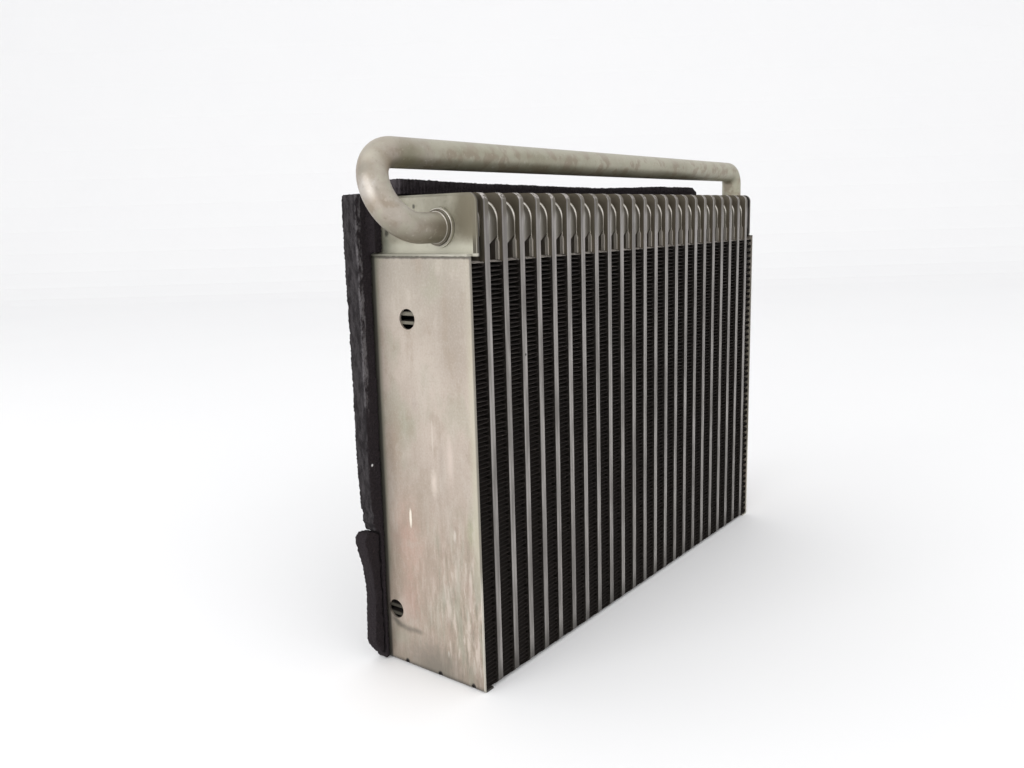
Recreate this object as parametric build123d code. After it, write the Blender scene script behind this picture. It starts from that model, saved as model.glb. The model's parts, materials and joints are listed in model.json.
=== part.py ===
# Laminated plate evaporator core with a crossover pipe, its connection block and foam seal tape.
# Millimetres, +Z up, +X along the stack of tubes, +Y from the face seen in front to the rear face.
# The origin is under the middle of the whole part, on the surface that it stands on.
import math
import os

from build123d import *

# Stack of plate tubes
tube_count = 23
tube_pitch = 12.0
tube_thick = 3.4
core_depth = 65.0
core_height = 216.0
plate_top_radius = 4.0
plate_foot_cut = 2.0

# Drawn tank cups at the head of each tube
cup_front_inset = 2.4
cup_top_drop = 3.0
cup_tall = 14.4
cup_draft = 1.9
cup_floor_slope = 3.9
cup_corner = 8.8
tank_web = 2.4

# Pointed bead on the neck of each tube, under the cup that meets it
neck_tall = 10.2
bead_front = 1.5
bead_wide = 2.6
bead_proud = 1.8
bead_point = 6.0
bead_gap = 0.3

# Corrugated fins
fin_foot_gap = 0.2
fin_setback = 0.6
fin_gauge = 0.4
fin_legs = 26

# Side plates
side_thick = 1.0
side_above_fins = 2.0
side_foot_lip = 5.0
side_foot_bend = 1.6
side_hole_radius = 4.5
hole_upper_back = 4.0
hole_upper_drop = 26.6
hole_lower_inset = 12.3
hole_lower_rise = 26.4
foot_notch_wide = 2.2
foot_notch_tall = 2.0
foot_notch_places = (6.4, 26.2, 47.0)

# End tank plates
end_reach = 5.9
end_rim = 2.6
end_edge_cut = 1.1
end_corner = 4.0
end_lip_inset = 0.7
end_lip_thick = 1.1
boss_land = 2.05
boss_proud = 1.0

# Crossover pipe
pipe_radius = 6.35
pipe_port_y = 18.8
pipe_port_drop = 13.6
pipe_rise = 30.5
pipe_left_out = 24.7
pipe_right_out = 39.1
bend_port = 17.0
bend_right = 8.5
bend_straight = 0.2
braze_proud = 0.95
braze_length = 1.2

# Connection block beyond the right end, with the rear tank's stub
block_long = 21.0
block_tall = 23.0
block_wall_front = 1.55
block_wall_rear = 5.3
block_edge = 2.0
stub_radius = 6.35
socket_wall = 1.6
pipe_sink = 8.0
liquid_port_radius = 4.5
suction_port_radius = 6.5
port_deep = 11.0
bolt_hole_radius = 2.5
bolt_hole_deep = 12.0
liquid_port_drop = 3.5
bolt_rise = 4.1

# Foam seal tape
foam_gap = 0.3
foam_side_thick = 6.8
foam_side_deep = 9.8
foam_stub_gap = 1.1
foam_side_slant = 2.6
foam_left_rest = 2.6
foam_press_deep = 12.8
foam_top_deep = 25.0
foam_top_thick = 6.0
foam_top_rise = 1.2
foam_top_dip_inset = 106.0
foam_top_lump_long = 48.0
foam_top_lump_rise = 0.5
foam_top_end_drop = 2.4
foam_top_end_round = 6.0
foam_tear = 75.0
foam_tear_taper = 10.0
foam_tear_step = 7.0
foam_loose_out = 12.4
foam_loose_foot = 8.8
foam_loose_toe = 3.9
foam_loose_knee = 45.0
foam_loose_curl = 3.0

# Worked out from the sizes above
tube_face = tube_thick / 2
fin_width = tube_pitch - tube_thick
last_tube = (tube_count - 1) * tube_pitch
cup_floor = core_height - cup_top_drop - cup_tall
fin_top = cup_floor - neck_tall
side_top = fin_top + side_above_fins
fin_foot = side_thick + fin_foot_gap
side_inner = tube_face + fin_width
side_outer = side_inner + side_thick
end_outer = tube_face + end_reach
boss_face = end_outer + boss_proud
side_hole_upper = (core_depth / 2 + hole_upper_back, side_top - hole_upper_drop)
side_hole_lower = (core_depth - hole_lower_inset, hole_lower_rise)
pipe_port_z = core_height - pipe_port_drop
foam_side_front = core_depth - foam_side_deep
stub_y = foam_side_front - foam_stub_gap - braze_proud - stub_radius
pipe_run_y = stub_y - stub_radius - socket_wall - pipe_radius
pipe_run_z = pipe_port_z + pipe_rise
bend_left = math.hypot(pipe_run_y - pipe_port_y, pipe_rise) - bend_port - bend_straight
leg_left_x = -(side_outer + pipe_left_out)
leg_right_x = last_tube + side_outer + pipe_right_out
block_x = leg_right_x - block_long / 2
block_top = pipe_port_z + block_tall / 2
block_front = pipe_run_y - pipe_radius - block_wall_front
block_rear = stub_y + suction_port_radius + block_wall_rear
foam_seat = side_outer + foam_gap
part_left = leg_left_x - pipe_radius
part_right = block_x + block_long
origin_x = (part_left + part_right) / 2
origin_y = core_depth / 2


def save(solid, name):
    """Moves a solid into the part's frame and writes it as one node."""
    placed = Pos(-origin_x, -origin_y, 0) * solid
    placed.label = name
    export_step(placed, f"parts/{name}.step")


def box(x_span, y_span, z_span):
    """A plain block between two corners."""
    size = [high - low for low, high in (x_span, y_span, z_span)]
    middle = [(high + low) / 2 for low, high in (x_span, y_span, z_span)]
    return Pos(*middle) * Box(*size)


def outline_yz(points, x):
    """A flat face in the plane across the stack at x, from (y, z) points."""
    wire = Polyline([(x, y, z) for y, z in points], close=True)
    return make_face(wire)


def slab_yz(points, x_span):
    """A flat plate between two x values, from its (y, z) outline."""
    low, high = x_span
    return extrude(outline_yz(points, low), amount=high - low, dir=(1, 0, 0))


def mirror_depth(solid):
    """The same solid turned over to the rear half of the core."""
    return mirror(solid, about=Plane.XZ.offset(-core_depth / 2))


def mirror_stack(solid):
    """The same solid turned over to the right end of the stack."""
    return mirror(solid, about=Plane.YZ.offset(last_tube / 2))


def plate_slab():
    """One flat tube, two plates brazed together, with rounded corners."""
    slab = box((-tube_face, tube_face), (0, core_depth), (0, core_height))
    across = slab.edges().filter_by(Axis.X)
    slab = fillet(across.group_by(Axis.Z)[-1], plate_top_radius)
    across = slab.edges().filter_by(Axis.X).group_by(Axis.Z)[0]
    return chamfer(across, plate_foot_cut)


def tank_cups(start, end):
    """The front and rear cups, drawn from the plate at start and closing in to their rim at end."""
    back = (core_depth - tank_web) / 2
    deep = back - cup_front_inset + cup_draft
    low = cup_floor - cup_floor_slope
    tall = core_height - cup_top_drop + cup_draft / 2 - low
    rim = (0, cup_floor_slope, deep - cup_draft, tall - cup_draft / 2)
    wedge = Wedge(deep, end - start, tall, *rim, align=Align.MIN)
    cup = Pos(start, back, low) * Rot(0, 0, -90) * wedge
    along = cup.edges().group_by(Axis.X)[1]
    front_top = along.sort_by(lambda edge: edge.center().Z - edge.center().Y)[-1]
    cup = fillet(front_top, cup_corner)
    return cup + mirror_depth(cup)


def neck_bead():
    """The upright bead on a tube's left face, pointed under the cup that meets it there."""
    left = bead_front
    right = bead_front + bead_wide
    tip = cup_floor - cup_floor_slope * bead_proud / fin_width - bead_gap
    points = [
        (left, fin_top),
        (right, fin_top),
        (right, tip - bead_point),
        ((left + right) / 2, tip),
        (left, tip - bead_point),
    ]
    front = slab_yz(points, (-tube_face - bead_proud, -tube_face))
    return front + mirror_depth(front)


def tube(index):
    """One plate tube: the first has no bead and the last has no cups, where the end plates meet them."""
    solid = plate_slab()
    if index < tube_count - 1:
        solid += tank_cups(tube_face, tube_face + fin_width)
    if index > 0:
        solid += neck_bead()
    return Pos(index * tube_pitch, 0, 0) * solid


def fin(index):
    """One corrugated fin: a folded strip whose crests touch the plates on both sides."""
    left = (index - 1) * tube_pitch + tube_face
    right = left + fin_width
    rise = (fin_top - fin_foot) / fin_legs
    strip = fin_gauge * math.hypot(rise, fin_width) / rise
    crest_side = []
    back_side = []
    for step in range(fin_legs + 1):
        z = fin_foot + step * rise
        crest_side.append((right if step % 2 else left + strip, z))
        back_side.append((right - strip if step % 2 else left, z))
    outline = crest_side + back_side[::-1]
    wire = Polyline([(x, fin_setback, z) for x, z in outline], close=True)
    return extrude(make_face(wire), amount=core_depth - 2 * fin_setback, dir=(0, 1, 0))


def side_plate():
    """The left side plate: a sheet with a foot turned in, two holes and three drain notches."""
    sheet = box((-side_outer, -side_inner), (0, core_depth), (0, side_top))
    foot = box((-side_inner, side_foot_lip - side_inner), (0, core_depth), (0, side_thick))
    plate = sheet + foot
    bend = plate.edges().filter_by(Axis.Y).sort_by(lambda edge: edge.center().X + edge.center().Z)[0]
    plate = fillet(bend, side_foot_bend)
    drill = Rot(0, 90, 0) * Cylinder(side_hole_radius, 4 * side_thick)
    for y, z in (side_hole_upper, side_hole_lower):
        plate -= Pos(-side_outer + side_thick / 2, y, z) * drill
    for y in foot_notch_places:
        half = foot_notch_wide / 2
        plate -= box((-side_outer, -side_inner), (y - half, y + half), (0, foot_notch_tall))
    return plate


def end_tank_plate(port_y, port_pipe_radius):
    """The left end tank plate, with its raised port boss for a pipe at a place along the depth."""
    plate = box((-end_outer, -end_outer + end_rim), (0, core_depth), (side_top, core_height))
    across = plate.edges().filter_by(Axis.X).group_by(Axis.Z)[-1]
    plate = fillet(across, end_corner)
    rim = plate.faces().sort_by(Axis.X)[0].edges()
    front_and_top = [edge for edge in rim if edge.center().Z > side_top + end_lip_thick]
    plate = chamfer(front_and_top, end_edge_cut)
    lip_x = (-side_outer + end_lip_inset, -end_outer + end_rim / 2)
    lip_y = (end_corner / 2, core_depth - end_corner / 2)
    plate += box(lip_x, lip_y, (side_top, side_top + end_lip_thick))
    plate += tank_cups(-end_outer + end_rim, -tube_face)
    height = boss_proud + end_rim / 2
    boss = Rot(0, 90, 0) * Cylinder(port_pipe_radius + boss_land, height)
    return plate + Pos(-boss_face + height / 2, port_y, pipe_port_z) * boss


def crossover_pipe():
    """The pipe from the left end's boss, up and back, across the top and down into the block."""
    route = [
        (-boss_face, pipe_port_y, pipe_port_z),
        (leg_left_x, pipe_port_y, pipe_port_z),
        (leg_left_x, pipe_run_y, pipe_run_z),
        (leg_right_x, pipe_run_y, pipe_run_z),
        (leg_right_x, pipe_run_y, block_top - pipe_sink),
    ]
    path = FilletPolyline(*route, radius=[bend_port, bend_left, bend_right])
    section = Plane(origin=route[0], z_dir=(-1, 0, 0)) * Circle(pipe_radius)
    pipe = sweep(section, path=path)
    ring = Cylinder(pipe_radius + braze_proud, braze_length)
    at_boss = Pos(-boss_face - braze_length / 2, pipe_port_y, pipe_port_z) * Rot(0, 90, 0)
    at_block = Pos(leg_right_x, pipe_run_y, block_top + braze_length / 2)
    return pipe + at_boss * ring + at_block * ring


def port_block():
    """The connection block: sockets for the pipe and the stub, and the ports on its outer face."""
    x_span = (block_x, block_x + block_long)
    y_span = (block_front, block_rear)
    block = box(x_span, y_span, (block_top - block_tall, block_top))
    block = chamfer(block.edges().filter_by(Axis.X), block_edge)
    block -= Pos(leg_right_x, pipe_run_y, block_top - pipe_sink / 2) * Cylinder(pipe_radius, pipe_sink)
    turned = Rot(0, 90, 0)
    block -= Pos(block_x + pipe_sink / 2, stub_y, pipe_port_z) * turned * Cylinder(stub_radius, pipe_sink)
    face_x = block_x + block_long
    port_x = face_x - port_deep / 2
    port_z = block_top - block_tall / 2
    liquid_z = port_z - liquid_port_drop
    block -= Pos(port_x, pipe_run_y, liquid_z) * turned * Cylinder(liquid_port_radius, port_deep)
    block -= Pos(port_x, stub_y, port_z) * turned * Cylinder(suction_port_radius, port_deep)
    bolt_y = (pipe_run_y + stub_y) / 2
    bolt_z = block_top - block_tall + bolt_rise
    bolt_hole = turned * Cylinder(bolt_hole_radius, bolt_hole_deep)
    return block - Pos(face_x - bolt_hole_deep / 2, bolt_y, bolt_z) * bolt_hole


def port_stub():
    """The short straight stub from the rear tank's boss on the right end into the block."""
    start = last_tube + boss_face
    length = block_x + pipe_sink - start
    stub = Pos(start + length / 2, stub_y, pipe_port_z) * Rot(0, 90, 0) * Cylinder(stub_radius, length)
    ring = Rot(0, 90, 0) * Cylinder(stub_radius + braze_proud, braze_length)
    return stub + Pos(start + braze_length / 2, stub_y, pipe_port_z) * ring


def foam_front(z):
    """Where the side tape's front edge lies at a height; it slants back towards the foot."""
    return foam_side_front + (core_height - z) * foam_side_slant / core_height


def foam_side_slab(z_low, z_high, x_span):
    """A length of side tape with its slanting front edge."""
    points = [
        (foam_front(z_low), z_low),
        (core_depth, z_low),
        (core_depth, z_high),
        (foam_front(z_high), z_high),
    ]
    return slab_yz(points, x_span)


def foam_side_left():
    """The left tape: pressed in against the tank plate, torn down to a thin layer below."""
    outer = -foam_seat - foam_side_thick
    whole = foam_side_slab(foam_gap, core_height, (outer, -foam_seat))
    torn = [
        (outer, foam_gap),
        (-foam_seat - foam_left_rest, foam_gap),
        (-foam_seat - foam_left_rest, foam_tear),
        (outer, foam_tear + foam_tear_taper),
    ]
    wire = Polyline([(x, 0, z) for x, z in torn], close=True)
    whole -= extrude(make_face(wire), amount=core_depth, dir=(0, 1, 0))
    press_x = (-foam_seat, -end_outer - foam_gap)
    press_z = (side_top + end_lip_thick + foam_gap, core_height)
    return whole + box(press_x, (core_depth - foam_press_deep, core_depth), press_z)


def foam_side_right():
    """The right tape, whole."""
    strip = foam_side_slab(foam_gap, core_height, (-foam_seat - foam_side_thick, -foam_seat))
    return mirror_stack(strip)


def foam_loose():
    """The torn outer layer of the left tape, standing off the plate at its upper end."""
    inner = -foam_seat - foam_left_rest - foam_gap
    head = foam_tear - foam_gap
    points = [
        (-foam_seat - foam_loose_toe, foam_gap),
        (-foam_seat - foam_loose_foot, foam_loose_foot),
        (-foam_seat - foam_loose_foot, foam_loose_knee),
        (-foam_seat - foam_loose_out, head - foam_tear_step - foam_loose_curl),
        (-foam_seat - foam_loose_out + foam_loose_curl, head - foam_loose_curl),
        (inner, head - foam_tear_step / 2),
        (inner, foam_gap),
    ]
    front = foam_front(foam_gap)
    wire = Polyline([(x, front, z) for x, z in points], close=True)
    return extrude(make_face(wire), amount=core_depth - front, dir=(0, 1, 0))


def foam_top():
    """The pad on the rear of the plate tops, thicker at the left end and lumpy near the right one."""
    base = core_height + foam_gap
    left = -end_outer
    right = last_tube + side_outer + 2 * foam_gap
    top = base + foam_top_thick
    points = [
        (left, base),
        (right, base),
        (right, top - foam_top_end_drop),
        (right - foam_top_end_round, top + foam_top_lump_rise),
        (right - foam_top_lump_long, top + foam_top_lump_rise),
        (last_tube - foam_top_dip_inset, top - foam_top_rise),
        (left + foam_top_lump_long, top),
        (left, top + foam_top_rise),
    ]
    wire = Polyline([(x, core_depth - foam_top_deep, z) for x, z in points], close=True)
    return extrude(make_face(wire), amount=foam_top_deep, dir=(0, 1, 0))


def build():
    """Makes every node and writes it."""
    os.makedirs("parts", exist_ok=True)
    for index in range(tube_count):
        save(tube(index), f"tube_{index + 1:02d}")
    for index in range(tube_count + 1):
        save(fin(index), f"fin_{index + 1:02d}")
    save(side_plate(), "side_plate_left")
    save(mirror_stack(side_plate()), "side_plate_right")
    save(end_tank_plate(pipe_port_y, pipe_radius), "end_tank_plate_left")
    save(mirror_stack(end_tank_plate(stub_y, stub_radius)), "end_tank_plate_right")
    save(crossover_pipe(), "crossover_pipe")
    save(port_block(), "port_block")
    save(port_stub(), "port_stub")
    save(foam_side_left(), "foam_side_left")
    save(foam_loose(), "foam_side_left_torn")
    save(foam_side_right(), "foam_side_right")
    save(foam_top(), "foam_top")


build()
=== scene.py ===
"""Looks of a used plate-and-fin evaporator core: finishes, louvred fins, braze seams and foam tape."""
import json
import math
import random

import bmesh
import bpy
from mathutils import Matrix, Vector, noise


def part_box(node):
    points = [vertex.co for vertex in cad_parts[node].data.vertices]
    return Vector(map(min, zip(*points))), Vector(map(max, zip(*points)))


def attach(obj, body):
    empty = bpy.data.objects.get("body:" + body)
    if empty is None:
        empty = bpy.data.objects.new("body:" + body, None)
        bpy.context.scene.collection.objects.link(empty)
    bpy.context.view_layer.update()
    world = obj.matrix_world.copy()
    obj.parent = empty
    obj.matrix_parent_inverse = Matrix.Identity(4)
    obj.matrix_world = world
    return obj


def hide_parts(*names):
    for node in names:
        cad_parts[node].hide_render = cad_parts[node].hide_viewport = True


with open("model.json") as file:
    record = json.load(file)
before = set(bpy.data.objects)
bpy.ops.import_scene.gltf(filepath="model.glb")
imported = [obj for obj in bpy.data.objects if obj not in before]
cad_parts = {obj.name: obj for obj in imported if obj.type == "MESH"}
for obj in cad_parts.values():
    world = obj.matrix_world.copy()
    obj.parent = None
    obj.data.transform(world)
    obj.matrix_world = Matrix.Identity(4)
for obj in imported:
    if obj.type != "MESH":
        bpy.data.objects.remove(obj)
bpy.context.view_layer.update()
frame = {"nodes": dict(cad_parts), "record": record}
nodes = frame["nodes"]

# Camera, as solved from the photograph
IMAGE_WIDTH = 1024
FOCAL_PIXELS = 875.42
SENSOR_WIDTH = 36.0
CAMERA_YAW = math.radians(52.2086)
CAMERA_PITCH = math.radians(10.6386)
CAMERA_ROLL = math.radians(1.6002)
CAMERA_PLACE = (-0.42228, -0.26136, 0.20476)

# Sizes from the frame, and two that its boxes don't show
TUBES = sorted(name for name in nodes if name.startswith("tube_"))
FINS = sorted(name for name in nodes if name.startswith("fin_"))
TUBE_THICK = 0.0034
TUBE_HALF = TUBE_THICK / 2
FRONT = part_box(TUBES[0])[0][1]
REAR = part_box(TUBES[0])[1][1]
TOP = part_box(TUBES[0])[1][2]
PITCH = (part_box(TUBES[-2])[0][0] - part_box(TUBES[1])[0][0]) / (len(TUBES) - 3)
FIRST_TUBE_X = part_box(TUBES[0])[0][0] + TUBE_HALF
FIN_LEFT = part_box(FINS[0])[0][0]
FIN_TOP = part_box(FINS[0])[1][2]
SIDE_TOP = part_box("side_plate_left")[1][2]
END_REACH = 0.0059
TANK_FACE_LEFT = FIRST_TUBE_X - TUBE_HALF - END_REACH
TANK_FACE_RIGHT = FIRST_TUBE_X + (len(TUBES) - 1) * PITCH + TUBE_HALF + END_REACH
FOAM_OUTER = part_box("foam_side_left")[0][0]
FOAM_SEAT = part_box("side_plate_left")[0][0] - 0.0003

# Fins as the real ones are folded: level legs joined by upright crests, in metres
FIN_LEGS = 98
FIN_SHEET = 0.00012
FIN_BEND = 0.0004
FIN_LOUVRES = 3
FIN_LOUVRE_PITCH = 0.0014
FIN_LOUVRE_LIFT = 0.00040
FIN_WANDER = 0.00022
FIN_MARGIN = 0.0008
FIN_SLIT = 0.0001
FIN_REST = 0.0002

# Braze seam round each tank cup, where it meets the next plate
SEAM_RADIUS = 0.00036
SEAM_ARC_SWELL = 2.1
SEAM_INSET = 0.0024
SEAM_TOP = 0.0030
SEAM_CORNER = 0.0088
SEAM_FLOOR = 0.1986
SEAM_BACK = 0.0313
SEAM_ARC_STEPS = 14
SEAM_SUNK = SEAM_RADIUS * 0.7
SHARP_FROM = math.radians(32)

# Pointed neck post under each seam, narrower than the bead of the solid that it stands in for
POST_FRONT = 0.0015
POST_WIDE = 0.0015
POST_PROUD = 0.0010
POST_SHOULDER = 0.1957
POST_TIP = 0.1974
POST_LINE = 0.00013

# Port bosses: depth from the front, height, and the radii of the two braze rings on them
LEFT_PORT_DEPTH = 0.0188
RIGHT_PORT_DEPTH = 0.0468
PORT_HEIGHT = 0.2024
BOSS_LINE_RADIUS = 0.0079
BOSS_OUT = 0.0010
BRAZE_REACH = (0.0010, 0.0023)
PIPE_LINE_RADIUS = 0.0067
PIPE_LINE_OUT = 0.0024
RING_LINE = 0.00026
RING_STEPS = 48

# Marks on the left side plate: depth from the front, height, half depth and half height
BRIGHT_SCRATCH = (0.0404, 0.0733, 0.0010, 0.0056)
WHITE_FLECK = (0.0206, 0.0129, 0.0007, 0.0026)
SMUDGE = (0.0345, 0.1270, 0.0026, 0.0060)
GREEN_EDGE = (0.0040, 0.0740, 0.0050, 0.0120)
# Painted shadows along the creases by the lower hole, on the flat plate.
CREASE_SHADOWS = (
    (0.0540, 0.0210, 0.0034, 0.0022),
    (0.0521, 0.0198, 0.0036, 0.0023),
    (0.0497, 0.0188, 0.0046, 0.0024),
    (0.0450, 0.0182, 0.0056, 0.0026),
    (0.0395, 0.0186, 0.0062, 0.0022),
)
PALE_UNDER_CREASE = (0.0515, 0.0125, 0.0062, 0.0064)
# Painted highlight on the lower hole's rim.
LOWER_HOLE_RIM_HIGHLIGHT = (0.0480, 0.0290, 0.0075, 0.0090)
BROWN_UPPER = (0.0100, 0.1550, 0.0130, 0.0380)
PALE_UPPER = (0.0280, 0.1420, 0.0240, 0.0240)
PALE_MIDDLE = (0.0250, 0.0925, 0.0030, 0.0090)
PALE_THIN = (0.0248, 0.1130, 0.0007, 0.0110)
PALE_FRONT = (0.0150, 0.1040, 0.0028, 0.0200)
DULL_BETWEEN = (0.0200, 0.1010, 0.0024, 0.0200)
PALE_DASH = (0.0140, 0.0700, 0.0012, 0.0042)
BROWN_MIDDLE = (0.0480, 0.1060, 0.0070, 0.0240)
PINK_MIDDLE = (0.0420, 0.0620, 0.0130, 0.0330)
PINK_LOW = (0.0420, 0.0340, 0.0100, 0.0200)
MOSS_MIDDLE = (0.0400, 0.1180, 0.0080, 0.0110)
MOSS_LOW = (0.0130, 0.0300, 0.0160, 0.0300)
GREY_FOOT = (0.0290, 0.0020, 0.0230, 0.0200)
NOTCH_DEPTHS = (0.0064, 0.0262, 0.0470)
NOTCH_SHADE = (0.0012, 0.0017, 0.0022)

# Marks on the left tank plate
TANK_BLOB = (0.0329, 0.2114, 0.0011, 0.0014)
# Painted shade in the gap between the pipe and the plate's rear corner.
TANK_NOTCH_SHADE = (0.0500, 0.2005, 0.0020, 0.0026)
TANK_SHADE = (0.0510, 0.1960, 0.0046, 0.0090)
TANK_FRONT_STAIN = (0.0030, 0.2060, 0.0120, 0.0120)

# Foam: outlines are distances out from the tape's seat on the side plate, and heights
FOAM_VOXEL = 0.0008
FOAM_ROUGHNESS = 0.00042
FOAM_INSET = FOAM_ROUGHNESS * 0.8
FOAM_CELLS_PER_METRE = 1100
FOAM_LUMPS_PER_METRE = 170
FOAM_FRONT_AT_FOOT = 0.0578
FOAM_FRONT_SLANT = -0.0120
FOAM_RIB_PITCH = 0.0021
FOAM_RIBBED_LENGTH = 0.070
TAPE_REST = 0.0026
TAPE_PRESS_DEPTH = 0.0523
TAPE_PRESS_IN = 0.0037
TAPE_PRESS_FOOT = 0.1919
TAPE_OUTLINE = (
    (0.0, 0.2174), (0.0079, 0.2176), (0.0084, 0.2060), (0.0086, 0.1910), (0.0082, 0.1540),
    (0.0083, 0.1300), (0.0087, 0.1050), (0.0083, 0.0930), (0.0080, 0.0840), (0.0078, 0.0760),
    (0.0063, 0.0730), (0.0073, 0.0698), (0.0060, 0.0672), (0.0058, 0.0650), (TAPE_REST, 0.0640),
    (TAPE_REST, 0.0002), (0.0, 0.0002),
)
LAYER_OUTLINE = (
    (0.0030, 0.0632), (0.0036, 0.0645), (0.0066, 0.0656), (0.0104, 0.0656), (0.0125, 0.0628),
    (0.0110, 0.0544), (0.0090, 0.0459), (0.0078, 0.0348), (0.0081, 0.0254), (0.0092, 0.0123),
    (0.0082, 0.0088), (0.0040, 0.0030), (0.0030, 0.0030),
)
FOAM_FLECKS = ((-0.0058, 0.0970, 0.0009), (-0.0083, 0.0885, 0.0005))

# Stains, painted highlights and a darker band on the crossover pipe: place from the first tube and the
# front, height, and reach
PIPE_OLIVE = (-0.0150, 0.0265, 0.2310, 0.0120)
PIPE_ROSY = (-0.0260, 0.0290, 0.2370, 0.0120)
PIPE_BROWN = (-0.0290, 0.0255, 0.2270, 0.0090)
# Painted highlight, the dimmer one, on the bend above the main one.
PIPE_HIGHLIGHT_ABOVE = (-0.0378, 0.0265, 0.2320, 0.0056)
PIPE_LOWER = (-0.0210, 0.0150, 0.2010, 0.0150)
# A darker band, painted between the two highlights.
PIPE_DARK_BAND = (-0.0400, 0.0275, 0.2255, 0.0046)
# Painted highlight on the left bend.
PIPE_HIGHLIGHT = (-0.0400, 0.0262, 0.2180, 0.0075)
PIPE_DARK_AT_BOSS = (-0.0120, 0.0150, 0.2010, 0.0120)

# Where the tubes' finish and their painted light and shade change: heights, and distances across from a
# tube's middle
STRIP_NICKS = ((0.2021, 0.0697, 0.0011), (0.0246, 0.1461, 0.0008))
STRIP_GROOVE = (0.0002, 0.0006)
# Width of the painted shadow line along each strip's left edge.
STRIP_SHADOW_LINE = 0.0002
CUP_SHADE_HEIGHTS = (0.2035, 0.2095)
CUP_SHADE_IN = (0.0008, 0.0016)
CUP_REACH = 0.0062
FLARE_HEIGHTS = (SEAM_FLOOR - 0.002, SEAM_FLOOR + 0.012)
FLARE_ACROSS = (0.0017, 0.0036)
FLARE_END = (0.209, 0.212)
RECESS_FLOOR = 0.1985
RECESS_EDGE = (0.0285, 0.0300)
TIP_HEIGHTS = (TOP - 0.0030, TOP - 0.0018)
TIP_EDGE = (0.0270, 0.0290)
TIP_BRIGHT_TO = FIRST_TUBE_X + 0.020
TIP_DULL_FROM = FIRST_TUBE_X + 0.090
DARK_FOOT_HEIGHTS = (0.001, 0.014)
CUP_HEIGHTS = (0.204, 0.213)
CUP_DARK_DEPTHS = (0.020, 0.031)

# Where the left side plate's finish and its painted light and shade change: heights, and distances in from
# its front edge or its tape
SIDE_HIGH = (0.135, 0.190)
SIDE_LOW = (0.045, 0.105)
SCORED_HEIGHTS = (0.030, 0.105)
SCORED_DEPTH = 0.045
EDGE_LIGHT_DEPTHS = (FRONT + 0.0006, FRONT + 0.0052)
EDGE_LIGHT_FROM = (0.040, 0.070)
EDGE_LIGHT_TO = (0.130, 0.185)
FOOT_HEIGHTS = (0.006, 0.026)
# Heights of the painted shadow along the side plate's foot.
FOOT_SHADOW_LINE = (0.0008, 0.0030)
MOSS_BY_TAPE = (0.0010, 0.0040)
MOSS_BY_TAPE_FROM = (0.030, 0.050)
SHADE_BY_TAPE = (0.0003, 0.0017)
# Painted shade starts this far in from the side plate's outer face.
SIDE_BEHIND = FOAM_SEAT + 0.0015
RIM_DEPTHS = (FRONT + 0.0002, FRONT + 0.0007)
RIM_HEIGHTS = (0.045, 0.060)

# Where the tank plates' finish and their painted light and shade change: heights, and distances in from the
# left one's face or front
TANK_PALE_HEIGHTS = (0.1945, 0.1975)
BOSS_PROUD = (TANK_FACE_LEFT - 0.0006, TANK_FACE_LEFT - 0.0004)
EDGE_FROM = (-0.0002, -0.0001)
PALE_LINE = (0.00098, 0.00122)
PALE_LINE_HEIGHTS = (0.194, 0.208)
FAR_LINE = (0.0023, 0.0026)
RIGHT_SHADE_DEPTHS = (FRONT + 0.0040, FRONT + 0.0140)
RIGHT_SHADE_HEIGHTS = (0.1935, 0.2010)
LIP_HEIGHTS = (SIDE_TOP - 0.0002, SIDE_TOP + 0.0012)
LIP_LIGHT_DEPTHS = (FRONT + 0.004, FRONT + 0.040)
UNDER_LIP_HEIGHTS = (SIDE_TOP + 0.0005, SIDE_TOP + 0.0009)
TANK_INSIDE = (0.0026, 0.0016)


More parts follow.
